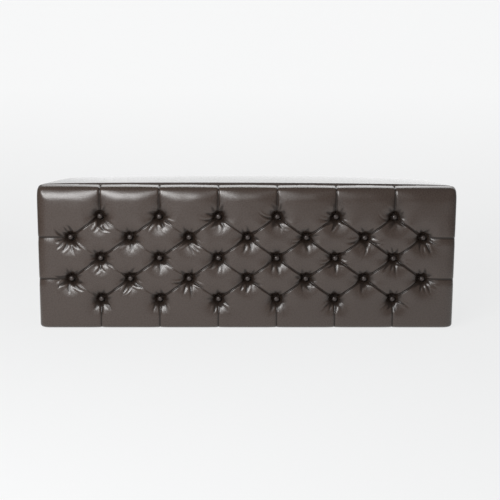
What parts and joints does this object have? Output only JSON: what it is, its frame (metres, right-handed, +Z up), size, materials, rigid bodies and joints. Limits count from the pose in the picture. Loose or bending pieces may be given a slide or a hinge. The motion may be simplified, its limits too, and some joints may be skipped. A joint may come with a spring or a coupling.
{
  "type": "storage ottoman bench",
  "caption": "Long low storage bench with deep-buttoned leather front and ends and a padded lid that lifts on rear hinges with slotted stays.",
  "frame": {"origin": "on the floor under the middle of the bench", "axes": "+X along the length to the sitter's left when sitting facing the front, -Y out of the buttoned front, +Z up"},
  "size_m": [1.27, 0.445, 0.4605],
  "materials": {
    "leather": "semi-gloss dark brown",
    "wood": "plain board",
    "foam": "open foam and wadding",
    "cloth": "black non-woven cloth",
    "steel": "zinc plated",
    "plastic": "black moulded",
    "rubber": "matt"
  },
  "bodies": {
    "carcass": {"front_cushion": "leather", "left_end_cushion": "leather", "right_end_cushion": "leather", "back_cover": "leather", "front_buttons": "leather", "left_end_buttons": "leather", "right_end_buttons": "leather", "front_board": "wood", "back_board": "wood", "left_end_board": "wood", "right_end_board": "wood", "floor_board": "wood", "front_floor_batten": "wood", "rear_floor_batten": "wood", "left_cross_batten": "wood", "right_cross_batten": "wood", "left_front_corner_block": "wood", "right_front_corner_block": "wood", "left_rear_corner_block": "wood", "right_rear_corner_block": "wood", "front_foam": "foam", "left_end_foam": "foam", "right_end_foam": "foam", "back_padding": "foam", "storage_lining": "cloth", "dust_cover": "cloth", "hinge_wall_screws": "steel", "stay_plate_screws": "steel", "left_hinge_wall_leaf": "steel", "left_hinge_pin": "steel", "middle_hinge_wall_leaf": "steel", "middle_hinge_pin": "steel", "right_hinge_wall_leaf": "steel", "right_hinge_pin": "steel", "left_stay_plate": "steel", "left_stay_pin": "steel", "right_stay_plate": "steel", "right_stay_pin": "steel", "floor_glides": "plastic", "lid_bumpers": "rubber"},
    "lid": {"lid_cover": "leather", "lid_board": "wood", "lid_foam": "foam", "lid_lining": "cloth", "hinge_lid_screws": "steel", "stay_bracket_screws": "steel", "left_hinge_lid_leaf": "steel", "middle_hinge_lid_leaf": "steel", "right_hinge_lid_leaf": "steel", "left_stay_bracket": "steel", "left_stay_rivet": "steel", "right_stay_bracket": "steel", "right_stay_rivet": "steel"},
    "left_arm": {"left_stay_arm": "steel"},
    "right_arm": {"right_stay_arm": "steel"}
  },
  "joints": [
    {"name": "lid_hinge", "type": "hinge", "parent": "carcass", "child": "lid", "pos_m": [0, 0.219, 0.4207], "axis": [-1, 0, 0], "range_deg": [0, 95]},
    {"name": "left_stay_pivot", "type": "hinge", "parent": "lid", "child": "left_arm", "pos_m": [-0.587, 0.06982, 0.405], "axis": [-1, 0, 0], "range_deg": [-47.5, 0]},
    {"name": "right_stay_pivot", "type": "hinge", "parent": "lid", "child": "right_arm", "pos_m": [0.587, 0.06982, 0.405], "axis": [-1, 0, 0], "range_deg": [-47.5, 0]}
  ],
  "couplings": [
    {"joint": "left_stay_pivot", "follows": "lid_hinge", "ratio": -0.5},
    {"joint": "right_stay_pivot", "follows": "lid_hinge", "ratio": -0.5}
  ]
}
